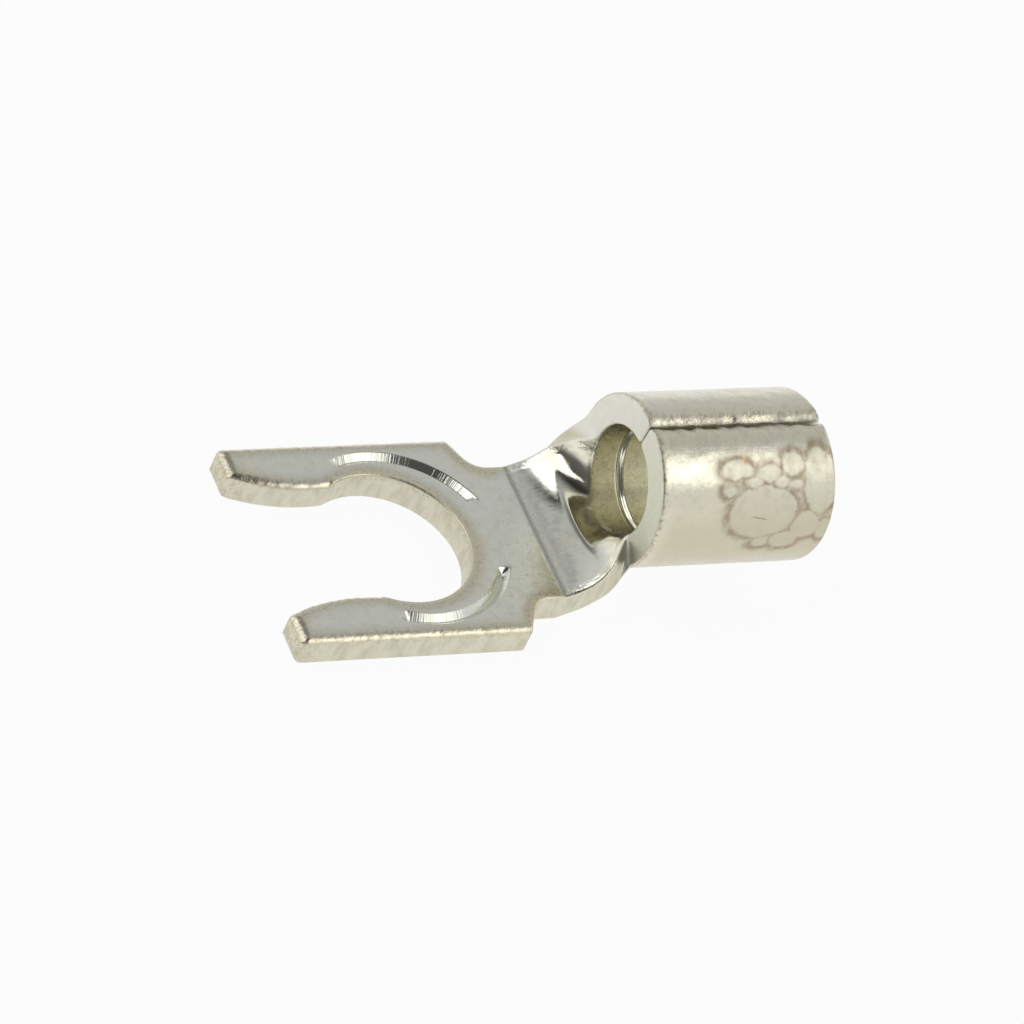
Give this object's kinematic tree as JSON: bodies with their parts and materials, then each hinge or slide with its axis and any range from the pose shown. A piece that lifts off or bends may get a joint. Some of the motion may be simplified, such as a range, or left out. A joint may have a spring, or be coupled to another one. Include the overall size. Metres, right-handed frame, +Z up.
{
  "type": "fork terminal",
  "caption": "Uninsulated snap-in fork terminal: a flat forked tongue that grips a stud, joined by a curled neck to a rolled wire barrel with a seam along its top.",
  "frame": {"origin": "centre of the round stud seat, on the underside of the tongue", "axes": "+X from the fork along the barrel's axis to the rear mouth, +Y across the tongue, +Z up out of the tongue's upper face"},
  "size_m": [0.0185, 0.0082, 0.0061],
  "materials": {
    "tin_plate": "dull tin plate on copper, satin, with tarnish in the bore and a dried stain on one side of the barrel"
  },
  "bodies": {
    "root": {"fork_terminal": "tin_plate"}
  },
  "joints": []
}
